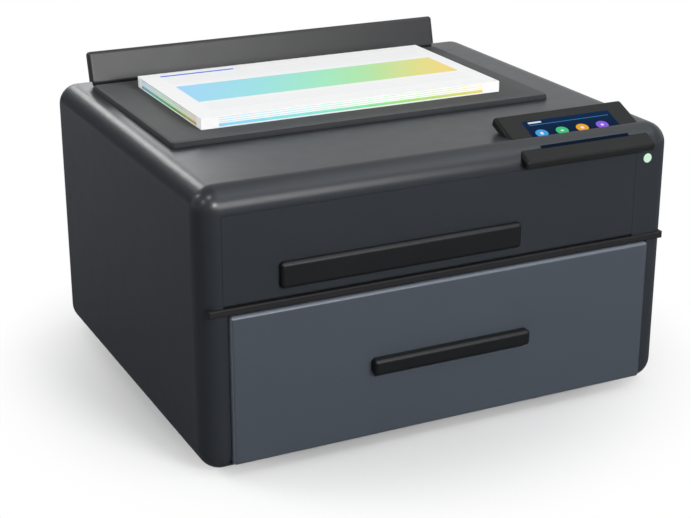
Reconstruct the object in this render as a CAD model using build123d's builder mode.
from build123d import *
from math import cos, pi, radians, sin, tan
import os

# A compact colour laser printer with a paper drawer, a fold-down front door,
# a tilted control panel and an output tray on top.
# Millimetres, +X to the right seen from the front, +Y to the back, +Z up.
# The origin is on the table under the middle of the machine.

os.makedirs("parts", exist_ok=True)

# Casing
body_width = 420.0
body_depth = 360.0
body_height = 230.0
body_radius = 18.0
wall = 2.5
fuser_room = 60.0
fuser_depth = body_depth - fuser_room
foot_height = 3.0
foot_radius = 11.0
foot_inset = 40.0

# Clearances
seat_gap = 0.3
seam_gap = 0.4
door_gap = 0.2
shaft_clearance = 0.05

# Paper drawer
drawer_side = 21.8
drawer_width = body_width - 2 * drawer_side
drawer_bottom = 8.2
drawer_top = 131.5
drawer_proud = 4.5
drawer_edge = 2.8
drawer_front_depth = 16.0
handle_width = 142.0
handle_bottom = 63.0
handle_height = 13.3
handle_reach = 12.0
handle_edge = 3.2
handle_wall = 2.5
tray_wall_top = 92.0
tray_floor = 10.0
tray_notch_width = 150.0
tray_notch_height = 50.0
rail_width = 6.0

# Paper sizes that the drawer takes
sheet_width = 210.0
sheet_length = 297.0
small_sheet_width = 148.0
tray_side_room = 23.0
tray_end_room = 21.0
tray_half_width = sheet_width / 2 + tray_side_room
tray_length = sheet_length + tray_end_room

# Parting strip and front door
strip_half_width = 204.0
strip_bottom = 132.0
strip_height = 5.8
strip_proud = 2.0
strip_depth = 8.0
beam_depth = 24.0
door_right = 173.6
door_top = 210.0
door_flange = 7.5
door_pin_radius = 1.2
door_pin_length = 3.0
grip_left = -146.5
grip_right = 63.5
grip_bottom = 146.7
grip_height = 21.3
grip_proud = 5.0
grip_edge = 3.4
led_x = 184.8
led_height = 204.1
led_radius = 3.85
led_proud = 1.0

# Control panel: a slab that leans back and passes under the front edge of the casing
panel_x = 125.4
panel_width = 124.0
panel_length = 60.6
panel_offset = 1.0
panel_thickness = 8.5
panel_edge = 3.0
panel_tilt = 23.1
screen_left = 84.0
screen_right = 168.0
screen_low = -14.9
screen_high = 19.9
screen_depth = 1.2

# Output tray and exit flap
plate_left = -187.0
plate_right = 160.5
plate_front = 114.0
plate_room = 43.0
plate_back = body_depth - plate_room
plate_height = 4.8
plate_edge = 4.0
slot_side_room = 7.0
slot_half_width = sheet_width / 2 + slot_side_room
slot_width = 4.6
flap_left = -186.0
flap_right = 162.0
flap_height = 31.0
flap_thickness = 9.0
flap_edge = 3.0
flap_lean = 14.4
flap_pin_radius = 1.0
flap_tongue = 8.0
flap_tongue_places = (-150.0, 126.0)

# Printed sheets lying in the output tray
sheets_left = -153.0
sheets_right = 124.3
sheets_front = 137.5
sheets_room = 26.0
sheets_back = plate_back - sheets_room
sheets_count = 6
sheets_height = 9.6

# Steel frame
frame_room = 12.0
frame_half_width = tray_half_width + frame_room
frame_sheet = 1.5
frame_back_room = 20.0
frame_back = body_depth - frame_back_room
frame_top = 206.0
frame_flange = 10.0

# Transfer belt, drums and toner cartridges
belt_roller_radius = 11.0
belt_thickness = 0.5
belt_front = 62.0
belt_back_room = 38.0
belt_back = fuser_depth - belt_back_room
belt_axis_height = 151.0
belt_margin = 8.0
belt_half_width = sheet_width / 2 + belt_margin
drum_radius = 12.0
drum_margin = 3.0
drum_half_length = belt_half_width + drum_margin
drum_shaft_radius = 4.0
colours = ("yellow", "magenta", "cyan", "black")
drum_pitch = (belt_back - belt_front) / len(colours)
first_drum = belt_front + drum_pitch / 2
cartridge_margin = 6.0
cartridge_half_length = drum_half_length + cartridge_margin
cartridge_half_depth = 0.44 * drum_pitch
cartridge_rise = 27.0
cartridge_end = 4.0
cartridge_pin_radius = 5.0
cartridge_pin_rise = 14.0
laser_slit = 4.0
cartridge_pin_length = 10.0
toner_drawer_half_width = cartridge_half_length + cartridge_pin_length
toner_drawer_wall = 2.0

# Laser scanner
scanner_front = belt_front
scanner_back_room = 12.0
scanner_back = belt_back - scanner_back_room
scanner_height = 16.0
scanner_overhang = 8.0
scanner_half_width = frame_half_width + scanner_overhang
mirror_radius = 14.0
mirror_height = 4.0
mirror_hub_radius = 8.0
mirror_pin_radius = 3.0

# Fuser, feed rollers and exit rollers
fuser_radius = 13.0
fuser_shaft_radius = 6.0
fuser_margin = 2.0
fuser_half_length = drum_half_length + fuser_margin
fuser_shell = 2.0
roller_shaft_radius = 3.0
register_depth = 42.0
register_radius = 6.0
pickup_depth = 64.0
pickup_height = 112.0
pickup_radius = 14.0
exit_height = 214.0
exit_radius = 8.0
guide_radius = 22.0
guide_depth = 48.0
guide_height = 126.0
guide_sheet = 2.0

# Width guides in the drawer, driven together by a pinion between two racks
gear_module = 1.5
pinion_teeth = 16
rack_thickness = 3.0
rack_body = 5.0
gear_play = 0.35
pinion_pin_radius = 3.0
guide_line = 135.0
side_guide_height = 55.0
side_guide_length = 60.0

# Lift plate and length guide in the drawer
lift_hinge = 200.0
lift_margin = 13.0
lift_half_width = sheet_width / 2 - lift_margin
lift_sheet = 1.5
lift_pin_radius = 2.0
lift_travel = 27.0
length_guide_width = 40.0
length_guide_height = 50.0
length_guide_base = 12.0
keel_width = 4.0

# Rear side
rear_door_half_width = 130.0
rear_door_bottom = 70.0
rear_door_top = 190.0
vent_x = rear_door_half_width + 20.0
vent_height = 160.0
vent_pitch = 7.0
vent_count = 8
vent_length = 28.0
vent_width = 3.2
screw_x = 180.0
inlet_x = 160.0
inlet_height = 40.0
inlet_width = 27.0
inlet_rise = 20.0
inlet_depth = 24.0
switch_height = 84.0
switch_width = 14.0
switch_rise = 22.0
switch_tilt = 7.0
port_x = -166.0
port_depth = 16.0

# Fan and motor
fan_depth = 110.0
fan_height = 150.0
fan_size = 60.0
fan_thickness = 15.0
fan_blades = 7
fan_hub_radius = 11.0
motor_depth = 160.0
motor_height = 122.0
motor_radius = 21.0
motor_length = 34.0
motor_edge = 2.0

# Places worked out from the sizes above
x_side = body_width / 2
x_flat = x_side - body_radius
y_front = -(body_depth - handle_reach) / 2
y_back = y_front + body_depth
z_base = foot_height
z_top = z_base + body_height
band = body_height - body_radius


def behind(distance):
    """Y of a place this far behind the casing's front face."""
    return y_front + distance


def above(height):
    """Z of a place this far above the casing's underside."""
    return z_base + height


def block(x, y, z, mode=Mode.ADD):
    """Add a block between two X, two Y and two Z values."""
    with Locations(((x[0] + x[1]) / 2, (y[0] + y[1]) / 2, (z[0] + z[1]) / 2)):
        Box(x[1] - x[0], y[1] - y[0], z[1] - z[0], mode=mode)


def rod(x, y, z, radius, mode=Mode.ADD):
    """Add a round rod that runs along X at one Y and Z."""
    with BuildSketch(Plane.YZ.offset(x[0])) as disc:
        with Locations((y, z)):
            Circle(radius)
    extrude(disc.sketch, amount=x[1] - x[0], mode=mode)


def strut(y, x, z, radius, mode=Mode.ADD):
    """Add a round rod that runs along Y at one X and Z."""
    with BuildSketch(Plane.XZ.offset(-y[0])) as disc:
        with Locations((x, z)):
            Circle(radius)
    extrude(disc.sketch, amount=-(y[1] - y[0]), mode=mode)


def post(z, x, y, radius, mode=Mode.ADD):
    """Add a round rod that stands along Z at one X and Y."""
    with BuildSketch(Plane.XY.offset(z[0])) as disc:
        with Locations((x, y)):
            Circle(radius)
    extrude(disc.sketch, amount=z[1] - z[0], mode=mode)


def side_profile(x, points, mode=Mode.ADD):
    """Add a prism along X from an outline of (Y, Z) points."""
    with BuildSketch(Plane.YZ.offset(x[0])) as outline:
        with BuildLine():
            Polyline(*points, close=True)
        make_face()
    extrude(outline.sketch, amount=x[1] - x[0], mode=mode)


def finish(piece, name):
    """Name a finished piece and write its file."""
    piece.part.label = name
    export_step(piece.part, f"parts/{name}.step")


# Hollow rounded casing, cut into covers further on
with BuildPart() as casing:
    block((-x_side, x_side), (y_front, y_back), (z_base, z_top))
    fillet(casing.edges(), body_radius)
    offset(amount=-wall, mode=Mode.SUBTRACT)


# Parting strip between the drawer and the door, its ends running out over the round corners
with BuildPart() as trim_strip:
    block(
        (-strip_half_width, strip_half_width),
        (behind(-strip_proud), behind(strip_depth)),
        (above(strip_bottom), above(strip_bottom + strip_height)),
    )
    fillet(trim_strip.faces().sort_by(Axis.Y)[0].edges(), strip_proud / 2)
finish(trim_strip, "trim_strip")


# Control panel: its top passes through the line where the casing's round front edge begins
panel_plane = Plane(
    origin=(panel_x, behind(body_radius), above(body_height)),
    x_dir=(1, 0, 0),
    z_dir=(0, -sin(radians(panel_tilt)), cos(radians(panel_tilt))),
)
with BuildPart() as panel_slab:
    with BuildSketch(panel_plane.offset(-panel_thickness)):
        with Locations((0, panel_offset)):
            Rectangle(panel_width, panel_length)
    extrude(amount=panel_thickness)
    fillet(panel_slab.edges(), panel_edge)

screen_width = screen_right - screen_left
screen_x = (screen_left + screen_right) / 2 - panel_x
screen_y = (screen_low + screen_high) / 2
with BuildPart() as touch_screen:
    with BuildSketch(panel_plane.offset(-screen_depth)):
        with Locations((screen_x, screen_y)):
            Rectangle(screen_width, screen_high - screen_low)
    extrude(amount=screen_depth)
finish(touch_screen, "touch_screen")

with BuildPart() as control_panel:
    add(panel_slab.part)
    add(touch_screen.part, mode=Mode.SUBTRACT)
finish(control_panel, "control_panel")


# Vent slots, a row of upright slots cut through a wall that faces along X
side_vent_pitch = 7.8
side_vent_width = 3.5
fan_vent_count = 7
fan_vent_length = 48.0
supply_vent_count = 9
supply_vent_length = 40.0
supply_vent_depth = body_depth - 110.0
supply_vent_height = 60.0


def side_vents(x, y_middle, z_middle, count, length):
    """Cut a row of upright slots around a middle point."""
    with BuildSketch(Plane.YZ.offset(x[0])) as slots:
        with Locations((y_middle, z_middle)):
            with GridLocations(side_vent_pitch, 1, count, 1):
                Rectangle(side_vent_width, length)
    extrude(slots.sketch, amount=x[1] - x[0], mode=Mode.SUBTRACT)


# Side covers: each holds one whole rounded side, with upright ribs on its inner face
rib_height = 6.0
rib_sheet = 2.0
rib_count = 5
rib_spacing = 60.0


def side_ribs(x):
    """Upright stiffening ribs on the inner face of a side cover."""
    for index in range(rib_count):
        y = (y_front + y_back) / 2 + (index - (rib_count - 1) / 2) * rib_spacing
        block(
            x,
            (y - rib_sheet / 2, y + rib_sheet / 2),
            (above(2 * body_radius), above(band - body_radius)),
        )


with BuildPart() as left_cover:
    add(casing.part)
    block((-x_side, -x_flat), (y_front, y_back), (z_base, z_top), Mode.INTERSECT)
    side_ribs((-x_side + wall, -x_side + wall + rib_height))
    add(trim_strip.part, mode=Mode.SUBTRACT)
    rod(
        (-x_flat - door_pin_length, -x_flat),
        behind(wall),
        above(strip_bottom + strip_height + seam_gap + wall),
        door_pin_radius + shaft_clearance,
        Mode.SUBTRACT,
    )
finish(left_cover, "left_cover")

with BuildPart() as right_cover:
    add(casing.part)
    block((x_flat, x_side), (y_front, y_back), (z_base, z_top), Mode.INTERSECT)
    side_ribs((x_side - wall - rib_height, x_side - wall))
    block(
        (x_side - wall - rib_height, x_side - wall),
        (behind(fan_depth - fan_size / 2), behind(fan_depth + fan_size / 2)),
        (above(fan_height - fan_size / 2), above(fan_height + fan_size / 2)),
        Mode.SUBTRACT,
    )
    cut = (x_side - wall - 1, x_side + 1)
    side_vents(cut, behind(fan_depth), above(fan_height), fan_vent_count, fan_vent_length)
    side_vents(cut, behind(supply_vent_depth), above(supply_vent_height), supply_vent_count, supply_vent_length)
    add(trim_strip.part, mode=Mode.SUBTRACT)
finish(right_cover, "right_cover")


# Top cover: the flat top with its round front and rear edges, the panel opening
# and the slot that printed sheets come out of
flap_axis_y = behind(plate_back + slot_width) + flap_thickness / 2
flap_axis_z = z_top + seat_gap + flap_thickness / 2
with BuildPart() as top_cover:
    add(casing.part)
    block((-x_flat, x_flat), (y_front, y_back), (above(band), z_top), Mode.INTERSECT)
    add(panel_slab.part, mode=Mode.SUBTRACT)
    block(
        (-slot_half_width, slot_half_width),
        (behind(plate_back), behind(plate_back + slot_width)),
        (above(band), z_top),
        Mode.SUBTRACT,
    )
finish(top_cover, "top_cover")


# Base pan: the underside with its round front and rear edges, the rails that the
# drawer runs on and ribs across the floor
rail_middle = tray_half_width - rail_width
with BuildPart() as base_pan:
    add(casing.part)
    block((-x_flat, x_flat), (y_front, y_back), (z_base, above(body_radius)), Mode.INTERSECT)
    block(
        (-drawer_width / 2 - seam_gap, drawer_width / 2 + seam_gap),
        (y_front, behind(drawer_front_depth + 2)),
        (above(drawer_bottom - seam_gap), above(body_radius)),
        Mode.SUBTRACT,
    )
    for side in (-1, 1):
        block(
            (side * rail_middle - rail_width / 2, side * rail_middle + rail_width / 2),
            (behind(body_radius + 8), behind(tray_length + drawer_front_depth)),
            (above(wall), above(tray_floor - seat_gap)),
        )
    for depth in (body_depth / 4, body_depth / 2, 3 * body_depth / 4):
        block(
            (-rail_middle, rail_middle),
            (behind(depth), behind(depth + rib_sheet)),
            (above(wall), above(tray_floor - 4)),
        )
finish(base_pan, "base_pan")

with BuildPart() as rubber_feet:
    with BuildSketch(Plane.XY):
        with GridLocations(
            2 * (x_side - foot_inset), body_depth - 2 * foot_inset, 2, 2
        ):
            Circle(foot_radius)
    extrude(amount=foot_height)
    rubber_feet.part.move(Location((0, (y_front + y_back) / 2, 0)))
finish(rubber_feet, "rubber_feet")


# Front frame: posts beside the drawer, a beam behind the parting strip, the post that
# carries the status lamp and the rail above the door
post_flange = 14.0
drawer_opening = drawer_width / 2 + seam_gap
door_left = -x_flat + door_gap
door_bottom = strip_bottom + strip_height + seam_gap
door_axis_y = behind(wall)
door_axis_z = above(door_bottom + wall)
with BuildPart() as front_frame:
    block(
        (-x_flat, x_flat),
        (behind(strip_depth), behind(beam_depth)),
        (above(strip_bottom), above(strip_bottom + strip_height)),
    )
    for side in (-1, 1):
        x = sorted((side * drawer_opening, side * x_flat))
        block(x, (y_front, behind(beam_depth)), (above(body_radius), above(strip_bottom)))
    block(
        (door_right + door_gap, x_flat),
        (y_front, behind(wall)),
        (above(strip_bottom + strip_height), above(band)),
    )
    block(
        (door_right + door_gap, door_right + door_gap + wall + 1),
        (behind(wall), behind(post_flange)),
        (above(strip_bottom + strip_height), above(band)),
    )
    block(
        (-x_flat, x_flat),
        (y_front, behind(post_flange)),
        (above(door_top + door_gap), above(band)),
    )
    rod(
        (door_right, door_right + door_gap + door_pin_length),
        door_axis_y,
        door_axis_z,
        door_pin_radius + shaft_clearance,
        Mode.SUBTRACT,
    )
    strut(
        (y_front - 1, behind(wall + 1)),
        led_x,
        above(led_height),
        led_radius,
        Mode.SUBTRACT,
    )
finish(front_frame, "front_frame")

with BuildPart() as status_led:
    strut((behind(-led_proud), behind(wall + 2)), led_x, above(led_height), led_radius)
    chamfer(status_led.edges().group_by(Axis.Y)[0], led_proud * 0.7)
finish(status_led, "status_led")


# Front door: a thin skin with a flange and ribs behind it, rounded below about its hinge
with BuildPart() as front_door:
    block((door_left, door_right), (y_front, behind(wall)), (above(door_bottom), above(door_top)))
    block(
        (door_left + 4, door_right - 4),
        (behind(wall), behind(wall + door_flange)),
        (above(door_bottom + 2 * wall), above(door_top - 5)),
    )
    block(
        (door_left + 4 + rib_sheet, door_right - 4 - rib_sheet),
        (behind(wall), behind(wall + door_flange)),
        (above(door_bottom + 2 * wall + rib_sheet), above(door_top - 5 - rib_sheet)),
        Mode.SUBTRACT,
    )
    for x in (-130.0, -70.0, -10.0, 50.0, 110.0):
        block(
            (x - rib_sheet / 2, x + rib_sheet / 2),
            (behind(wall), behind(wall + door_flange)),
            (above(door_bottom + 2 * wall), above(door_top - 5)),
        )
    bottom_edge = front_door.edges().filter_by(Axis.X).group_by(Axis.Z)[0].sort_by(Axis.Y)[0]
    fillet(bottom_edge, wall * 0.98)
    rod((door_left, door_right), door_axis_y, door_axis_z, wall)
    rod(
        (door_left - door_pin_length, door_right + door_pin_length),
        door_axis_y,
        door_axis_z,
        door_pin_radius,
    )
finish(front_door, "front_door")

with BuildPart() as door_grip:
    block(
        (grip_left, grip_right),
        (behind(-grip_proud), y_front),
        (above(grip_bottom), above(grip_bottom + grip_height)),
    )
    front_face = door_grip.faces().sort_by(Axis.Y)[0]
    fillet(front_face.edges() + door_grip.edges().filter_by(Axis.Y), grip_edge)
finish(door_grip, "door_grip")


# Drawer front: a hollow moulding with ribs that meet the tray, and a finger pocket behind the handle
drawer_front_y = behind(-drawer_proud)
pocket_low = handle_bottom - handle_edge
pocket_high = handle_bottom + handle_height - handle_wall
pocket_depth = 9.0
with BuildPart() as tray_front:
    block(
        (-drawer_width / 2, drawer_width / 2),
        (drawer_front_y, behind(drawer_front_depth)),
        (above(drawer_bottom), above(drawer_top)),
    )
    front_face = tray_front.faces().sort_by(Axis.Y)[0]
    fillet(front_face.edges() + tray_front.edges().filter_by(Axis.Y), drawer_edge)
    block(
        (-drawer_width / 2 + wall, drawer_width / 2 - wall),
        (drawer_front_y + wall + 0.5, behind(drawer_front_depth)),
        (above(drawer_bottom + wall), above(drawer_top - wall)),
        Mode.SUBTRACT,
    )
    for x in (-120.0, -78.0, 78.0, 120.0):
        block(
            (x - rib_sheet / 2, x + rib_sheet / 2),
            (drawer_front_y + wall, behind(drawer_front_depth)),
            (above(drawer_bottom + wall / 2), above(drawer_top - wall / 2)),
        )
    block(
        (-handle_width / 2, handle_width / 2),
        (drawer_front_y + wall, behind(pocket_depth + wall)),
        (above(pocket_low - wall), above(pocket_high + wall)),
    )
    block(
        (-handle_width / 2 + handle_wall, handle_width / 2 - handle_wall),
        (drawer_front_y, behind(pocket_depth)),
        (above(pocket_low), above(pocket_high)),
        Mode.SUBTRACT,
    )
finish(tray_front, "tray_front")

with BuildPart() as tray_handle:
    block(
        (-handle_width / 2, handle_width / 2),
        (behind(-handle_reach), drawer_front_y),
        (above(handle_bottom), above(handle_bottom + handle_height)),
    )
    front_face = tray_handle.faces().sort_by(Axis.Y)[0]
    fillet(front_face.edges() + tray_handle.edges().filter_by(Axis.Y), handle_edge)
    block(
        (-handle_width / 2 + handle_edge + 1, handle_width / 2 - handle_edge - 1),
        (behind(-handle_reach + handle_wall), drawer_front_y),
        (above(handle_bottom), above(handle_bottom + handle_height - handle_wall)),
        Mode.SUBTRACT,
    )
finish(tray_handle, "tray_handle")


# Paper tray: the long pan that slides on the rails of the base
tray_front_y = behind(drawer_front_depth)
tray_back_y = tray_front_y + tray_length
tray_floor_top = above(tray_floor + wall)
with BuildPart() as paper_tray:
    block(
        (-tray_half_width, tray_half_width),
        (tray_front_y, tray_back_y),
        (above(tray_floor), above(tray_wall_top)),
    )
    block(
        (-tray_half_width + wall, tray_half_width - wall),
        (tray_front_y + wall, tray_back_y - wall),
        (tray_floor_top, above(tray_wall_top)),
        Mode.SUBTRACT,
    )
    for side in (-1, 1):
        x = side * length_guide_width / 4
        block(
            (x - keel_width / 2 - seat_gap, x + keel_width / 2 + seat_gap),
            (behind(lift_hinge + 8), tray_back_y - 2 * wall),
            (above(tray_floor), tray_floor_top),
            Mode.SUBTRACT,
        )
    with BuildSketch(Plane.XZ.offset(-tray_front_y)) as notch:
        with Locations((0, above(tray_wall_top))):
            SlotOverall(tray_notch_width, tray_notch_height)
    extrude(notch.sketch, amount=-wall, mode=Mode.SUBTRACT)
    for side in (-1, 1):
        x = sorted((side * (tray_half_width - wall), side * (lift_half_width + 8)))
        block(
            x,
            (behind(lift_hinge - 4), behind(lift_hinge + 4)),
            (tray_floor_top, tray_floor_top + 8),
        )
        rod(
            x,
            behind(lift_hinge),
            tray_floor_top + 4,
            lift_pin_radius + shaft_clearance,
            Mode.SUBTRACT,
        )
finish(paper_tray, "paper_tray")


# Lift plate: pushes the sheets up to the pickup roller, cut away where the width guides run
lift_axis_y = behind(lift_hinge)
lift_axis_z = tray_floor_top + 4
lift_front_y = tray_front_y + wall + 5
notch_room = 4.0
guide_reach = lift_hinge - guide_line + side_guide_length / 2
notch_front = behind(lift_hinge - guide_reach / cos(radians(lift_travel)) - notch_room)
notch_back = behind(guide_line + side_guide_length / 2 + notch_room)
notch_reach = small_sheet_width / 2 - 6
with BuildPart() as lift_plate:
    block(
        (-lift_half_width, lift_half_width),
        (lift_front_y, lift_axis_y),
        (lift_axis_z + 1, lift_axis_z + 1 + lift_sheet),
    )
    rod((-lift_half_width - 8 - 12, lift_half_width + 8 + 12), lift_axis_y, lift_axis_z, lift_pin_radius)
    rod((-lift_half_width, lift_half_width), lift_axis_y, lift_axis_z, lift_pin_radius + 0.8)
    for side in (-1, 1):
        pad_x = side * lift_half_width * 0.7
        block(
            (pad_x - 6, pad_x + 6),
            (lift_front_y + 3, lift_front_y + 9),
            (tray_floor_top + seat_gap, lift_axis_z + 1 + lift_sheet),
        )
        x = sorted((side * notch_reach, side * (lift_half_width + 1)))
        block(
            x,
            (notch_front, notch_back),
            (lift_axis_z + 1, lift_axis_z + 1 + lift_sheet),
            Mode.SUBTRACT,
        )
finish(lift_plate, "lift_plate")


# Rack and pinion under the lift plate: both guides move in together
pitch_radius = gear_module * pinion_teeth / 2
tooth_pitch = pi * gear_module
pinion_y = behind(guide_line)
rack_low = tray_floor_top + seat_gap
rack_high = rack_low + rack_thickness
guide_travel = (sheet_width - small_sheet_width) / 2


flank = tan(radians(20))
half_pitch_tooth = tooth_pitch / 4 - gear_play / 2
rack_teeth = int((guide_travel + 2.6 * pitch_radius) / tooth_pitch)


def rack_guide(side):
    """A width guide on one side of the drawer: its toothed rack and its upright plate."""
    guide_x = side * (sheet_width / 2 + seat_gap)
    pitch_line = pinion_y - side * pitch_radius
    with BuildPart() as guide:
        rack_end = -side * (pitch_radius + tooth_pitch)
        x = sorted((guide_x, rack_end))
        y = sorted((pitch_line - side * 1.25 * gear_module, pitch_line - side * (1.25 * gear_module + rack_body)))
        block(x, y, (rack_low, rack_high))
        for index in range(rack_teeth):
            tooth_x = side * (index - 2 + 0.5) * tooth_pitch
            root = pitch_line - side * 1.25 * gear_module
            tip = pitch_line + side * gear_module
            half_root = half_pitch_tooth + 1.25 * gear_module * flank
            half_tip = half_pitch_tooth - gear_module * flank
            with BuildSketch(Plane.XY.offset(rack_low)) as tooth:
                with BuildLine():
                    Polyline(
                        (tooth_x - half_root, root),
                        (tooth_x + half_root, root),
                        (tooth_x + half_tip, tip),
                        (tooth_x - half_tip, tip),
                        close=True,
                    )
                make_face()
            extrude(tooth.sketch, amount=rack_thickness)
        x = sorted((guide_x, guide_x + side * 3.0))
        y = (pinion_y - side_guide_length / 2, pinion_y + side_guide_length / 2)
        block(x, y, (rack_low, rack_low + side_guide_height))
        x = sorted((guide_x, guide_x + side * 12.0))
        block(x, y, (rack_low, rack_low + 2.0))
        for y_rib in (-1, 1):
            y_middle = pinion_y + y_rib * side_guide_length / 3
            inner = guide_x + side * 3.0
            with BuildSketch(Plane.XZ.offset(-y_middle)) as gusset:
                with BuildLine():
                    Polyline(
                        (inner, rack_low + 2.0),
                        (inner + side * 8.0, rack_low + 2.0),
                        (inner, rack_low + side_guide_height - 8),
                        close=True,
                    )
                make_face()
            extrude(gusset.sketch, amount=rib_sheet / 2, both=True)
    return guide


left_guide = rack_guide(-1)
finish(left_guide, "left_guide")
right_guide = rack_guide(1)
finish(right_guide, "right_guide")

with BuildSketch() as pinion_tooth:
    with BuildLine():
        Polyline(
            (pitch_radius - 1.5 * gear_module, -half_pitch_tooth - 0.9 * gear_module * flank),
            (pitch_radius, -half_pitch_tooth),
            (pitch_radius + gear_module, -half_pitch_tooth + 1.5 * gear_module * flank),
            (pitch_radius + gear_module, half_pitch_tooth - 1.5 * gear_module * flank),
            (pitch_radius, half_pitch_tooth),
            (pitch_radius - 1.5 * gear_module, half_pitch_tooth + 0.9 * gear_module * flank),
            close=True,
        )
    make_face()

with BuildPart() as guide_pinion:
    with BuildSketch(Plane.XY.offset(rack_low)):
        with Locations((0, pinion_y)):
            Circle(pitch_radius - 1.25 * gear_module)
            with PolarLocations(0, pinion_teeth, start_angle=90):
                add(pinion_tooth.sketch)
    extrude(amount=rack_thickness)
    post((tray_floor_top, rack_low), 0, pinion_y, pinion_pin_radius)
finish(guide_pinion, "guide_pinion")


# Length guide: stands behind the sheets, with two keels that run in slots of the floor
length_guide_y = tray_front_y + wall + sheet_length + seat_gap
length_guide_low = tray_floor_top + seat_gap
with BuildPart() as length_guide:
    block(
        (-length_guide_width / 2, length_guide_width / 2),
        (length_guide_y, length_guide_y + length_guide_base),
        (length_guide_low, length_guide_low + wall),
    )
    block(
        (-length_guide_width / 2, length_guide_width / 2),
        (length_guide_y, length_guide_y + wall),
        (length_guide_low, tray_floor_top + length_guide_height),
    )
    for side in (-1, 1):
        x = side * length_guide_width / 4
        block(
            (x - keel_width / 2, x + keel_width / 2),
            (length_guide_y, length_guide_y + length_guide_base),
            (above(tray_floor + 1), length_guide_low),
        )
        side_profile(
            (x - rib_sheet / 2, x + rib_sheet / 2),
            (
                (length_guide_y + wall, length_guide_low + wall),
                (length_guide_y + length_guide_base, length_guide_low + wall),
                (length_guide_y + wall, tray_floor_top + length_guide_height - 6),
            ),
        )
finish(length_guide, "length_guide")


# Output tray: a dark plate on the top cover, with two tongues behind it that carry the flap
tongue_half = 2.1
with BuildPart() as output_tray:
    block(
        (plate_left, plate_right),
        (behind(plate_front), behind(plate_back)),
        (z_top, z_top + plate_height),
    )
    fillet(
        output_tray.edges().filter_by(Axis.Z) + output_tray.faces().sort_by(Axis.Z)[-1].edges(),
        plate_edge,
    )
    for x in flap_tongue_places:
        tongue = (x - flap_tongue / 2, x + flap_tongue / 2)
        block(tongue, (behind(plate_back - plate_edge), flap_axis_y), (z_top, z_top + 2))
        block(tongue, (flap_axis_y - tongue_half, flap_axis_y + tongue_half), (z_top, flap_axis_z))
        rod(tongue, flap_axis_y, flap_axis_z, tongue_half)
        rod(tongue, flap_axis_y, flap_axis_z, flap_pin_radius + shaft_clearance, Mode.SUBTRACT)
finish(output_tray, "output_tray")


# Exit flap: the upright plate behind the sheets, hinged at its round foot
flap_plane = Plane(
    origin=(0, flap_axis_y, flap_axis_z),
    x_dir=(1, 0, 0),
    z_dir=(0, -cos(radians(flap_lean)), sin(radians(flap_lean))),
)
flap_travel = 60.0
flap_front_turn = 32.0
flap_sweep = flap_thickness
with BuildPart() as exit_flap:
    with BuildSketch(flap_plane.offset(-flap_thickness / 2)):
        with Locations(((flap_left + flap_right) / 2, (flap_height - flap_thickness / 2) / 2)):
            Rectangle(flap_right - flap_left, flap_height - flap_thickness / 2)
    extrude(amount=flap_thickness)
    foot_face = exit_flap.faces().sort_by(Axis.Z)[0]
    fillet(exit_flap.edges() - foot_face.edges(), flap_edge)
    rod((flap_left + flap_edge, flap_right - flap_edge), flap_axis_y, flap_axis_z, flap_thickness / 2)
    for x in flap_tongue_places:
        pocket = (x - flap_tongue / 2 - seat_gap, x + flap_tongue / 2 + seat_gap)
        with BuildSketch(Plane.YZ.offset(pocket[0])) as sweep:
            turns = [radians(turn) for turn in (-flap_front_turn, 0.0, flap_travel)]
            ends = [
                (flap_axis_y + flap_sweep * sin(turn), flap_axis_z - flap_sweep * cos(turn))
                for turn in turns
            ]
            with Locations((flap_axis_y, flap_axis_z), *ends):
                Circle(tongue_half + seat_gap)
            make_hull()
        extrude(sweep.sketch, amount=pocket[1] - pocket[0], mode=Mode.SUBTRACT)
        rod((pocket[0] - 1, pocket[1] + 1), flap_axis_y, flap_axis_z, flap_pin_radius)
finish(exit_flap, "exit_flap")


# Printed sheets: a small stack whose sheets lie a little out of line
sheet_thickness = sheets_height / sheets_count
sheet_slips = (0.0, 0.9, -0.6, 0.5, -0.8, 0.0)
with BuildPart() as printed_sheets:
    for index in range(sheets_count):
        slip = sheet_slips[index % len(sheet_slips)]
        low = z_top + plate_height + index * sheet_thickness
        block(
            (sheets_left + slip, sheets_right + slip),
            (behind(sheets_front) - slip, behind(sheets_back) - slip),
            (low, low + sheet_thickness),
        )
finish(printed_sheets, "printed_sheets")


# Places of the rollers along the paper path
belt_top = belt_axis_height + belt_roller_radius + seat_gap + belt_thickness
drum_height = belt_top + seat_gap + drum_radius
register_height = belt_top - seat_gap - register_radius
heat_height = belt_top + seat_gap / 2 + fuser_radius
press_height = belt_top - seat_gap / 2 - fuser_radius
exit_depth = plate_back + slot_width + exit_radius
shaft_end = frame_half_width + 2 * frame_sheet


# Side frames: pressed steel plates with flanges, bearing holes, lightening holes and a
# ledge that the toner drawer stands on
ledge_height = belt_top + 0.9
ledge_depth = 10.5
ledge_thickness = 3.6


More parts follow.
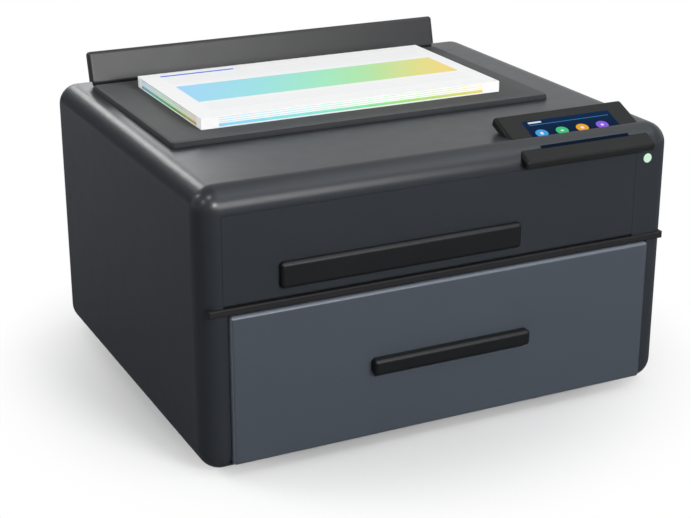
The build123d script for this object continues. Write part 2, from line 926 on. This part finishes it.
def side_frame(side):
    """One steel side plate with its flanges and ledge."""
    inner = side * frame_half_width
    outer = side * (frame_half_width + frame_sheet)
    plate = sorted((inner, outer))
    with BuildPart() as frame:
        side_profile(
            plate,
            (
                (behind(beam_depth), above(wall)),
                (behind(beam_depth), above(frame_top - 10)),
                (behind(beam_depth + 10), above(frame_top)),
                (behind(fuser_depth), above(frame_top)),
                (behind(fuser_depth + 12), above(exit_height + exit_radius)),
                (behind(frame_back), above(exit_height + exit_radius)),
                (behind(frame_back), above(wall)),
            ),
        )
        flange = sorted((inner, side * (frame_half_width + frame_flange)))
        block(flange, (behind(beam_depth), behind(frame_back)), (above(wall), above(wall + frame_sheet)))
        block(
            flange,
            (behind(scanner_front), behind(scanner_back)),
            (above(frame_top - frame_sheet), above(frame_top)),
        )
        ledge = sorted((inner, side * (frame_half_width - ledge_depth)))
        block(
            ledge,
            (behind(belt_front), behind(belt_back)),
            (above(ledge_height - ledge_thickness), above(ledge_height)),
        )
        for depth, height in (
            (register_depth, register_height),
            (pickup_depth, pickup_height),
            (exit_depth, exit_height),
        ):
            rod(plate, behind(depth), above(height), roller_shaft_radius + shaft_clearance, Mode.SUBTRACT)
        for depth, height, length, rise in (
            (110.0, 45.0, 48.0, 44.0),
            (180.0, 45.0, 48.0, 44.0),
            (250.0, 45.0, 48.0, 44.0),
            (225.0, 112.0, 34.0, 28.0),
            (285.0, 112.0, 34.0, 28.0),
        ):
            block(
                plate,
                (behind(depth - length / 2), behind(depth + length / 2)),
                (above(height - rise / 2), above(height + rise / 2)),
                Mode.SUBTRACT,
            )
    return frame


left_side_frame = side_frame(-1)
finish(left_side_frame, "left_side_frame")
right_side_frame = side_frame(1)
finish(right_side_frame, "right_side_frame")

with BuildPart() as frame_crossbars:
    span = (-frame_half_width, frame_half_width)
    for y_low, y_high, z_low, z_high in (
        (beam_depth + 2, beam_depth + 10, 100.3, 106.0),
        (beam_depth + 20, beam_depth + 30, frame_top - 8, frame_top - 2),
        (frame_back - 10, frame_back - 2, 100.0, 112.0),
    ):
        block(span, (behind(y_low), behind(y_high)), (above(z_low), above(z_high)))
        block(
            span,
            (behind(y_low + frame_sheet), behind(y_high - frame_sheet)),
            (above(z_low), above(z_high - frame_sheet)),
            Mode.SUBTRACT,
        )
finish(frame_crossbars, "frame_crossbars")


# Feed guide: a half-round sheet that turns the paper from the drawer up to the belt
with BuildPart() as feed_guide:
    span = (-frame_half_width, frame_half_width)
    rod(span, behind(guide_depth), above(guide_height), guide_radius + guide_sheet)
    rod(span, behind(guide_depth), above(guide_height), guide_radius, Mode.SUBTRACT)
    block(
        span,
        (behind(guide_depth), behind(guide_depth + 2 * guide_radius)),
        (above(guide_height - 2 * guide_radius), above(guide_height + 2 * guide_radius)),
        Mode.SUBTRACT,
    )
finish(feed_guide, "feed_guide")


def tyred_shaft(depth, height, radius, tyres):
    """A steel shaft with rubber tyres between pairs of X values."""
    with BuildPart() as roller:
        rod((-shaft_end, shaft_end), behind(depth), above(height), roller_shaft_radius)
        for tyre in tyres:
            rod(tyre, behind(depth), above(height), radius)
    return roller


pickup_roller = tyred_shaft(pickup_depth, pickup_height, pickup_radius, ((-22, 22),))
finish(pickup_roller, "pickup_roller")
registration_roller = tyred_shaft(register_depth, register_height, register_radius, ((-110, 110),))
finish(registration_roller, "registration_roller")
exit_roller = tyred_shaft(
    exit_depth, exit_height, exit_radius, ((-97, -85), (-47, -35), (35, 47), (85, 97))
)
finish(exit_roller, "exit_roller")


# Transfer belt, its frame inside the loop and its two rollers
belt_span = belt_back - belt_front
belt_middle = (belt_front + belt_back) / 2
belt_inner = belt_roller_radius + seat_gap
with BuildPart() as transfer_belt:
    with BuildSketch(Plane.YZ.offset(-belt_half_width)):
        with Locations((behind(belt_middle), above(belt_axis_height))):
            SlotCenterToCenter(belt_span, 2 * (belt_inner + belt_thickness))
            SlotCenterToCenter(belt_span, 2 * belt_inner, mode=Mode.SUBTRACT)
    extrude(amount=2 * belt_half_width)
finish(transfer_belt, "transfer_belt")

belt_rail = 3.0
belt_rail_place = drum_half_length + 2
with BuildPart() as belt_frame:
    for side in (-1, 1):
        x = sorted((side * belt_rail_place, side * (belt_rail_place + belt_rail)))
        with BuildSketch(Plane.YZ.offset(x[0])) as rail:
            with Locations((behind(belt_middle), above(belt_axis_height))):
                SlotCenterToCenter(belt_span, 14)
                with Locations((-belt_span / 2, 0), (belt_span / 2, 0)):
                    Circle(drum_shaft_radius + shaft_clearance, mode=Mode.SUBTRACT)
        extrude(rail.sketch, amount=belt_rail)
        lug = sorted((side * (belt_rail_place + belt_rail), side * frame_half_width))
        block(
            lug,
            (behind(belt_middle - 12), behind(belt_middle + 12)),
            (above(belt_axis_height - 5), above(belt_axis_height + 5)),
        )
    for depth in (belt_middle - belt_span / 3.2, belt_middle, belt_middle + belt_span / 3.2):
        block(
            (-belt_rail_place, belt_rail_place),
            (behind(depth - 2), behind(depth + 2)),
            (above(belt_axis_height - 7), above(belt_axis_height + 7)),
        )
finish(belt_frame, "belt_frame")


def belt_roller(depth):
    """A roller inside the belt loop, carried in the belt frame."""
    with BuildPart() as roller:
        rod(
            (-belt_half_width, belt_half_width),
            behind(depth),
            above(belt_axis_height),
            belt_roller_radius,
        )
        end = belt_rail_place + belt_rail
        rod((-end, end), behind(depth), above(belt_axis_height), drum_shaft_radius)
    return roller


belt_idle_roller = belt_roller(belt_front)
finish(belt_idle_roller, "belt_idle_roller")
belt_drive_roller = belt_roller(belt_back)
finish(belt_drive_roller, "belt_drive_roller")


# Toner cartridges: a hopper over each drum, with a slit that lets the laser beam through
cartridge_body = cartridge_half_length - cartridge_end


def cartridge(y, z):
    """One toner cartridge around the drum axis at this Y and Z."""
    outline = (
        (y - cartridge_half_depth, z - drum_radius / 2),
        (y - cartridge_half_depth, z + cartridge_rise - 7),
        (y - cartridge_half_depth + 8, z + cartridge_rise),
        (y + cartridge_half_depth, z + cartridge_rise),
        (y + cartridge_half_depth, z + 4),
        (y + cartridge_half_depth - 5, z - drum_radius / 2),
    )
    with BuildPart() as body:
        side_profile((-cartridge_half_length, cartridge_half_length), outline)
        inner = (-cartridge_body, cartridge_body)
        rod(inner, y, z, drum_radius + 0.6, Mode.SUBTRACT)
        block(inner, (y - laser_slit, y), (z, z + cartridge_rise), Mode.SUBTRACT)
        whole = (-cartridge_half_length, cartridge_half_length)
        rod(whole, y, z, drum_shaft_radius + shaft_clearance, Mode.SUBTRACT)
        for side in (-1, 1):
            pin = sorted((side * cartridge_half_length, side * (toner_drawer_half_width - 0.1)))
            rod(pin, y, z + cartridge_pin_rise, cartridge_pin_radius)
    return body


def drum(y, z):
    """One photosensitive drum on its shaft."""
    with BuildPart() as body:
        rod((-drum_half_length, drum_half_length), y, z, drum_radius)
        rod((-cartridge_half_length, cartridge_half_length), y, z, drum_shaft_radius)
    return body


for index, colour in enumerate(colours):
    drum_y = behind(first_drum + index * drum_pitch)
    finish(cartridge(drum_y, above(drum_height)), f"toner_cartridge_{colour}")
    finish(drum(drum_y, above(drum_height)), f"drum_{colour}")


# Toner drawer: an open frame with a round notch for each cartridge pin
toner_drawer_front = first_drum - cartridge_half_depth - 8
toner_drawer_back = first_drum + 3 * drum_pitch + cartridge_half_depth + 3
toner_drawer_top = drum_height + cartridge_pin_rise + 7
with BuildPart() as toner_drawer:
    outer_x = toner_drawer_half_width
    inner_x = toner_drawer_half_width - toner_drawer_wall
    block(
        (-outer_x, outer_x),
        (behind(toner_drawer_front), behind(toner_drawer_back + wall)),
        (above(ledge_height), above(toner_drawer_top)),
    )
    block(
        (-inner_x, inner_x),
        (behind(toner_drawer_front + 4), behind(toner_drawer_back)),
        (above(ledge_height), above(toner_drawer_top)),
        Mode.SUBTRACT,
    )
    for index in range(len(colours)):
        drum_y = behind(first_drum + index * drum_pitch)
        pin_z = above(drum_height + cartridge_pin_rise)
        for x in ((-outer_x, -inner_x), (inner_x, outer_x)):
            rod(x, drum_y, pin_z, cartridge_pin_radius, Mode.SUBTRACT)
            block(
                x,
                (drum_y - cartridge_pin_radius, drum_y + cartridge_pin_radius),
                (pin_z, above(toner_drawer_top)),
                Mode.SUBTRACT,
            )
    pull_height = (ledge_height + toner_drawer_top) / 2
    pull = (behind(toner_drawer_front - 11), behind(toner_drawer_front))
    block((-40, 40), pull, (above(pull_height - 5), above(pull_height + 5)))
    block(
        (-35, 35),
        (behind(toner_drawer_front - 8), behind(toner_drawer_front)),
        (above(pull_height - 5), above(pull_height + 5)),
        Mode.SUBTRACT,
    )
finish(toner_drawer, "toner_drawer")


# Laser scanner: an open housing with a slit over each drum, its spinning mirror, lenses and lid
scanner_low = above(frame_top)
scanner_rim = above(frame_top + scanner_height)
scanner_floor = scanner_low + wall
mirror_y = behind(first_drum + 1.5 * drum_pitch)
with BuildPart() as scanner_housing:
    block(
        (-scanner_half_width, scanner_half_width),
        (behind(scanner_front), behind(scanner_back)),
        (scanner_low, scanner_rim),
    )
    block(
        (-scanner_half_width + wall, scanner_half_width - wall),
        (behind(scanner_front + wall), behind(scanner_back - wall)),
        (scanner_floor, scanner_rim),
        Mode.SUBTRACT,
    )
    for index in range(len(colours)):
        slit_y = behind(first_drum + index * drum_pitch) - laser_slit / 2
        block(
            (-drum_half_length, drum_half_length),
            (slit_y - laser_slit / 2, slit_y + laser_slit / 2),
            (scanner_low, scanner_floor),
            Mode.SUBTRACT,
        )
    post((scanner_floor, scanner_floor + 9), 0, mirror_y, mirror_pin_radius)
finish(scanner_housing, "scanner_housing")

with BuildPart() as scanner_lid:
    block(
        (-scanner_half_width, scanner_half_width),
        (behind(scanner_front), behind(scanner_back)),
        (scanner_rim, scanner_rim + frame_sheet),
    )
    for side in (-1, 1):
        block(
            (side * 70 - 40, side * 70 + 40),
            (behind(scanner_front + 20), behind(scanner_back - 20)),
            (scanner_rim + frame_sheet, scanner_rim + frame_sheet + 1),
        )
finish(scanner_lid, "scanner_lid")

with BuildPart() as polygon_mirror:
    post((scanner_floor + seat_gap, scanner_floor + 5), 0, mirror_y, mirror_hub_radius)
    with BuildSketch(Plane.XY.offset(scanner_floor + 5)):
        with Locations((0, mirror_y)):
            RegularPolygon(mirror_radius, 6)
    extrude(amount=mirror_height)
    post(
        (scanner_floor, scanner_floor + 5 + mirror_height),
        0,
        mirror_y,
        mirror_pin_radius + shaft_clearance,
        Mode.SUBTRACT,
    )
finish(polygon_mirror, "polygon_mirror")

with BuildPart() as scan_lenses:
    for side in (-1, 1):
        lens_y = mirror_y + side * 36
        with BuildSketch(Plane.XY.offset(scanner_floor)) as lens:
            with BuildLine():
                Line((-45, lens_y - side * 4), (45, lens_y - side * 4))
                ThreePointArc((-45, lens_y - side * 4), (0, lens_y + side * 4), (45, lens_y - side * 4))
            make_face()
        extrude(lens.sketch, amount=9)
finish(scan_lenses, "scan_lenses")


# Fuser: end plates that hold the two rollers, with a rounded hood over and a trough under them
fuser_plate = 6.0
fuser_lug = 10.0
with BuildPart() as fuser_housing:
    plate_in = fuser_half_length + 4
    plate_out = plate_in + fuser_plate
    hood_radius = fuser_radius + 2 + fuser_shell
    inner_span = (-plate_in, plate_in)
    for height, direction in ((heat_height, -1), (press_height, 1)):
        y = behind(fuser_depth)
        z = above(height)
        rod(inner_span, y, z, hood_radius)
        rod(inner_span, y, z, hood_radius - fuser_shell, Mode.SUBTRACT)
        block(
            inner_span,
            (y - hood_radius, y + hood_radius),
            sorted((z + direction * hood_radius, z - direction * 4)),
            Mode.SUBTRACT,
        )
    for side in (-1, 1):
        x = sorted((side * plate_in, side * plate_out))
        block(
            x,
            (behind(fuser_depth) - hood_radius, behind(fuser_depth) + hood_radius),
            (above(press_height) - hood_radius, above(heat_height) + hood_radius),
        )
        lug = sorted((side * plate_out, side * frame_half_width))
        block(
            lug,
            (behind(fuser_depth - fuser_lug), behind(fuser_depth + fuser_lug)),
            (above(belt_top - 5), above(belt_top + 5)),
        )
    for height in (heat_height, press_height):
        rod(
            (-plate_out, plate_out),
            behind(fuser_depth),
            above(height),
            fuser_shaft_radius + shaft_clearance,
            Mode.SUBTRACT,
        )
finish(fuser_housing, "fuser_housing")


def fuser_roller(height):
    """A fuser roller on its shaft."""
    with BuildPart() as roller:
        rod((-fuser_half_length, fuser_half_length), behind(fuser_depth), above(height), fuser_radius)
        rod((-plate_out, plate_out), behind(fuser_depth), above(height), fuser_shaft_radius)
    return roller


heat_roller = fuser_roller(heat_height)
finish(heat_roller, "heat_roller")
pressure_roller = fuser_roller(press_height)
finish(pressure_roller, "pressure_roller")


# Rear cover: the flat rear wall with its door opening, vents, sockets and screw bosses
rear_wall = (y_back - wall, y_back)
rear_axis_z = above(rear_door_bottom + seam_gap + wall)
rear_axis_y = y_back - wall
screw_places = [(x, z) for x in (-screw_x, screw_x) for z in (above(32), above(200))]
screw_head = 3.5
screw_radius = 1.9
screw_length = 14.0
port_width = 16.0
port_low = 60.0
port_high = 112.0
port_y = y_back - 22
with BuildPart() as rear_cover:
    block((-x_flat, x_flat), rear_wall, (above(body_radius), above(band)))
    block(
        (-rear_door_half_width, rear_door_half_width),
        rear_wall,
        (above(rear_door_bottom), above(rear_door_top)),
        Mode.SUBTRACT,
    )
    with Locations(*[Location((x, y_back - wall - 4, z)) for x, z in screw_places]):
        Box(12, 8, 12)
    for x, z in screw_places:
        strut((y_back - 2.2, y_back), x, z, screw_head + seat_gap, Mode.SUBTRACT)
        strut((y_back - 12, y_back), x, z, screw_radius + shaft_clearance, Mode.SUBTRACT)
    for side in (-1, 1):
        x = sorted((side * rear_door_half_width, side * (rear_door_half_width + 4)))
        block(x, (rear_axis_y - 3.5, rear_axis_y), (rear_axis_z - 4, rear_axis_z + 4))
        rod(x, rear_axis_y, rear_axis_z, door_pin_radius + shaft_clearance, Mode.SUBTRACT)
    block(
        (inlet_x - inlet_width / 2, inlet_x + inlet_width / 2),
        rear_wall,
        (above(inlet_height - inlet_rise / 2), above(inlet_height + inlet_rise / 2)),
        Mode.SUBTRACT,
    )
    block(
        (port_x, port_x + port_width),
        rear_wall,
        (above(port_low), above(port_high)),
        Mode.SUBTRACT,
    )
    for side in (-1, 1):
        cheek = sorted((inlet_x + side * switch_width / 2, inlet_x + side * (switch_width / 2 + 3)))
        block(cheek, (y_back - 9, y_back - wall), (above(switch_height - 5), above(switch_height + 5)))
        rod(cheek, y_back - 6, above(switch_height), 1 + shaft_clearance, Mode.SUBTRACT)
    block(
        (inlet_x - switch_width / 2, inlet_x + switch_width / 2),
        rear_wall,
        (above(switch_height - switch_rise / 2), above(switch_height + switch_rise / 2)),
        Mode.SUBTRACT,
    )
    with BuildSketch(Plane.XZ.offset(-y_back)) as vents:
        with Locations((-vent_x, above(vent_height)), (vent_x, above(vent_height))):
            with GridLocations(1, vent_pitch, 1, vent_count):
                Rectangle(vent_length, vent_width)
    extrude(vents.sketch, amount=wall, mode=Mode.SUBTRACT)
finish(rear_cover, "rear_cover")

with BuildPart() as cover_screws:
    for x, z in screw_places:
        strut((y_back - 2.2, y_back - 0.3), x, z, screw_head)
        strut((y_back - screw_length, y_back - 2.2), x, z, screw_radius)
finish(cover_screws, "cover_screws")


# Rear door: folds down about its lower edge, and its curved ribs turn the paper upwards
turn_radius = 22.0
turn_gap = 3.0
turn_ribs = 5
turn_start = 35.0
turn_foot = 40.0
turn_centre_z = above(belt_top) + turn_radius
rib_reach = rear_door_half_width - 30
with BuildPart() as rear_door:
    block(
        (-rear_door_half_width + seam_gap, rear_door_half_width - seam_gap),
        rear_wall,
        (above(rear_door_bottom + seam_gap), above(rear_door_top - seam_gap)),
    )
    lower_edge = rear_door.edges().filter_by(Axis.X).group_by(Axis.Z)[0].sort_by(Axis.Y)[-1]
    fillet(lower_edge, wall * 0.98)
    rod(
        (-rear_door_half_width + seam_gap, rear_door_half_width - seam_gap),
        rear_axis_y,
        rear_axis_z,
        wall,
    )
    rod(
        (-rear_door_half_width - door_pin_length, rear_door_half_width + door_pin_length),
        rear_axis_y,
        rear_axis_z,
        door_pin_radius,
    )
    outer = min(turn_radius + turn_gap, rear_axis_y - behind(fuser_depth) - wall)
    for index in range(turn_ribs):
        x = -rib_reach + 2 * index * rib_reach / (turn_ribs - 1)
        with BuildSketch(Plane.YZ.offset(x - rib_sheet / 2)) as rib:
            with BuildLine():
                arc_start, arc_middle = [
                    (
                        behind(fuser_depth) + outer * sin(radians(turn)),
                        turn_centre_z - outer * cos(radians(turn)),
                    )
                    for turn in (turn_start, (turn_start + 90) / 2)
                ]
                arc_end = (behind(fuser_depth) + outer, turn_centre_z)
                ThreePointArc(arc_start, arc_middle, arc_end)
                Polyline(
                    arc_end,
                    (rear_axis_y, turn_centre_z - 4),
                    (rear_axis_y, turn_centre_z - turn_foot),
                    arc_start,
                )
            make_face()
        extrude(rib.sketch, amount=rib_sheet)
finish(rear_door, "rear_door")


# Power inlet with its three blades, and the rocker switch above it
with BuildPart() as power_inlet:
    block(
        (inlet_x - inlet_width / 2, inlet_x + inlet_width / 2),
        (y_back - inlet_depth, y_back),
        (above(inlet_height - inlet_rise / 2), above(inlet_height + inlet_rise / 2)),
    )
    block(
        (inlet_x - inlet_width / 2 + 2, inlet_x + inlet_width / 2 - 2),
        (y_back - inlet_depth + 4, y_back),
        (above(inlet_height - inlet_rise / 2 + 2), above(inlet_height + inlet_rise / 2 - 2)),
        Mode.SUBTRACT,
    )
    for blade_x, blade_z in ((-7.0, -2.0), (0.0, 2.5), (7.0, -2.0)):
        block(
            (inlet_x + blade_x - 1, inlet_x + blade_x + 1),
            (y_back - inlet_depth + 4, y_back - 6),
            (above(inlet_height + blade_z - 2), above(inlet_height + blade_z + 2)),
        )
finish(power_inlet, "power_inlet")

rocker_y = y_back - 6
rocker_z = above(switch_height)
rocker_half = switch_rise / 2 - 0.5
rocker_face = 4.2
rocker_drop = rocker_half * tan(radians(2 * switch_tilt))
with BuildPart() as power_switch:
    side_profile(
        (inlet_x - switch_width / 2 + seat_gap, inlet_x + switch_width / 2 - seat_gap),
        (
            (rocker_y - 5, rocker_z),
            (rocker_y - 1, rocker_z + rocker_half),
            (rocker_y + rocker_face - rocker_drop, rocker_z + rocker_half),
            (rocker_y + rocker_face, rocker_z),
            (rocker_y + rocker_face, rocker_z - rocker_half),
            (rocker_y - 1, rocker_z - rocker_half),
        ),
    )
    rod((inlet_x - switch_width / 2 - 2, inlet_x + switch_width / 2 + 2), rocker_y, rocker_z, 1)
finish(power_switch, "power_switch")


# Main board on stand-offs beside the left frame, with the data sockets at its rear edge
board_x = port_x
board_sheet = 1.6
stand_off = 2.2
board_front = body_depth - 170.0
board_low = 40.0
board_high = 150.0
with BuildPart() as main_board:
    block(
        (board_x - board_sheet, board_x),
        (behind(board_front), y_back - wall - 1),
        (above(board_low), above(board_high)),
    )
    for depth in (board_front + 10, body_depth - 35):
        for height in (board_low + 10, board_high - 10):
            block(
                (board_x, -frame_half_width - frame_sheet),
                (behind(depth) - stand_off, behind(depth) + stand_off),
                (above(height) - stand_off, above(height) + stand_off),
            )
    sink = (above(board_low + 40), above(board_low + 72))
    block((board_x, board_x + 12), (behind(board_front + 40), behind(board_front + 72)), sink)
    for fin in range(6):
        fin_y = behind(board_front + 41 + 5.6 * fin)
        block((board_x + 12, board_x + 18), (fin_y, fin_y + 1.5), sink)
    block(
        (board_x - 9, board_x - board_sheet),
        (behind(board_front + 20), behind(board_front + 110)),
        (above(board_high - 30), above(board_high - 22)),
    )
    block(
        (port_x + seat_gap, port_x + port_width),
        (port_y, y_back),
        (above(port_low), above(port_high)),
    )
    for low, high in ((port_low + 3, port_low + 15), (port_high - 27, port_high - 13)):
        block(
            (port_x + 2, port_x + port_width - 2),
            (y_back - port_depth, y_back),
            (above(low), above(high)),
            Mode.SUBTRACT,
        )
finish(main_board, "main_board")


# Power supply on the floor of the right side
supply_left = frame_half_width + frame_flange + 1
supply_right = x_flat - 2
supply_front = body_depth - 170.0
supply_back = body_depth - 32.0
with BuildPart() as power_supply:
    block(
        (supply_left, supply_right),
        (behind(supply_front), behind(supply_back)),
        (above(wall + 5), above(wall + 5 + board_sheet)),
    )
    for x in (supply_left + 5, supply_right - 5):
        for depth in (supply_front + 6, supply_back - 6):
            block(
                (x - stand_off, x + stand_off),
                (behind(depth) - stand_off, behind(depth) + stand_off),
                (above(wall), above(wall + 5)),
            )
    deck = above(wall + 5 + board_sheet)
    sink_depth = (behind(supply_front + 50), behind(supply_back - 18))
    block(
        (supply_left + 4, supply_left + 34),
        (behind(supply_front + 10), behind(supply_front + 42)),
        (deck, deck + 30),
    )
    for depth in (supply_front + 56, supply_front + 74, supply_front + 92):
        post((deck, deck + 26), supply_left + 12, behind(depth), 7)
    for fin in range(5):
        fin_x = supply_right - 3 - 4.5 * fin
        block((fin_x - 1, fin_x + 1), sink_depth, (deck + 4, deck + 28))
    block((supply_right - 24, supply_right - 1), sink_depth, (deck, deck + 4))
finish(power_supply, "power_supply")


# Cooling fan inside the right cover
fan_x = (x_side - wall - fan_thickness, x_side - wall)
fan_y = behind(fan_depth)
fan_z = above(fan_height)
fan_bore = fan_size / 2 - 3
fan_pin = 1.5
with BuildPart() as fan_housing:
    half = fan_size / 2
    block(fan_x, (fan_y - half, fan_y + half), (fan_z - half, fan_z + half))
    rod(fan_x, fan_y, fan_z, fan_bore, Mode.SUBTRACT)
    block((fan_x[0], fan_x[0] + 2), (fan_y - half, fan_y + half), (fan_z - 2, fan_z + 2))
    block((fan_x[0], fan_x[0] + 2), (fan_y - 2, fan_y + 2), (fan_z - half, fan_z + half))
    rod((fan_x[0], fan_x[0] + 2), fan_y, fan_z, fan_hub_radius)
    rod((fan_x[0], fan_x[0] + 9), fan_y, fan_z, fan_pin)
finish(fan_housing, "fan_housing")

rotor_x = (fan_x[0] + 2 + seat_gap, fan_x[1] - 1)
rotor_middle = (rotor_x[0] + rotor_x[1]) / 2
blade_inner = fan_hub_radius - 1.5
blade_outer = fan_bore - 1.5
blade_middle = (blade_inner + blade_outer) / 2
with BuildPart() as fan_rotor:
    rod(rotor_x, fan_y, fan_z, fan_hub_radius)
    for index in range(fan_blades):
        angle = 2 * pi * index / fan_blades
        out = (0, cos(angle), sin(angle))
        slope = radians(40)
        across = (sin(slope), -sin(angle) * cos(slope), cos(angle) * cos(slope))
        blade = Plane(
            origin=(rotor_middle, fan_y + out[1] * blade_middle, fan_z + out[2] * blade_middle),
            x_dir=out,
            z_dir=Vector(*out).cross(Vector(*across)),
        )
        with Locations(blade.location):
            Box(blade_outer - blade_inner, 12, 1.2)
    rod((rotor_x[0], rotor_x[0] + 8), fan_y, fan_z, fan_pin + shaft_clearance, Mode.SUBTRACT)
finish(fan_rotor, "fan_rotor")


# Main motor on the outside of the right frame
with BuildPart() as drive_motor:
    motor_face = frame_half_width + frame_sheet
    block(
        (motor_face, motor_face + 2),
        (behind(motor_depth - motor_radius - 4), behind(motor_depth + motor_radius + 4)),
        (above(motor_height - motor_radius - 4), above(motor_height + motor_radius + 4)),
    )
    rod(
        (motor_face, motor_face + motor_length),
        behind(motor_depth),
        above(motor_height),
        motor_radius,
    )
    chamfer(drive_motor.edges().group_by(Axis.X)[-1], motor_edge)
finish(drive_motor, "drive_motor")
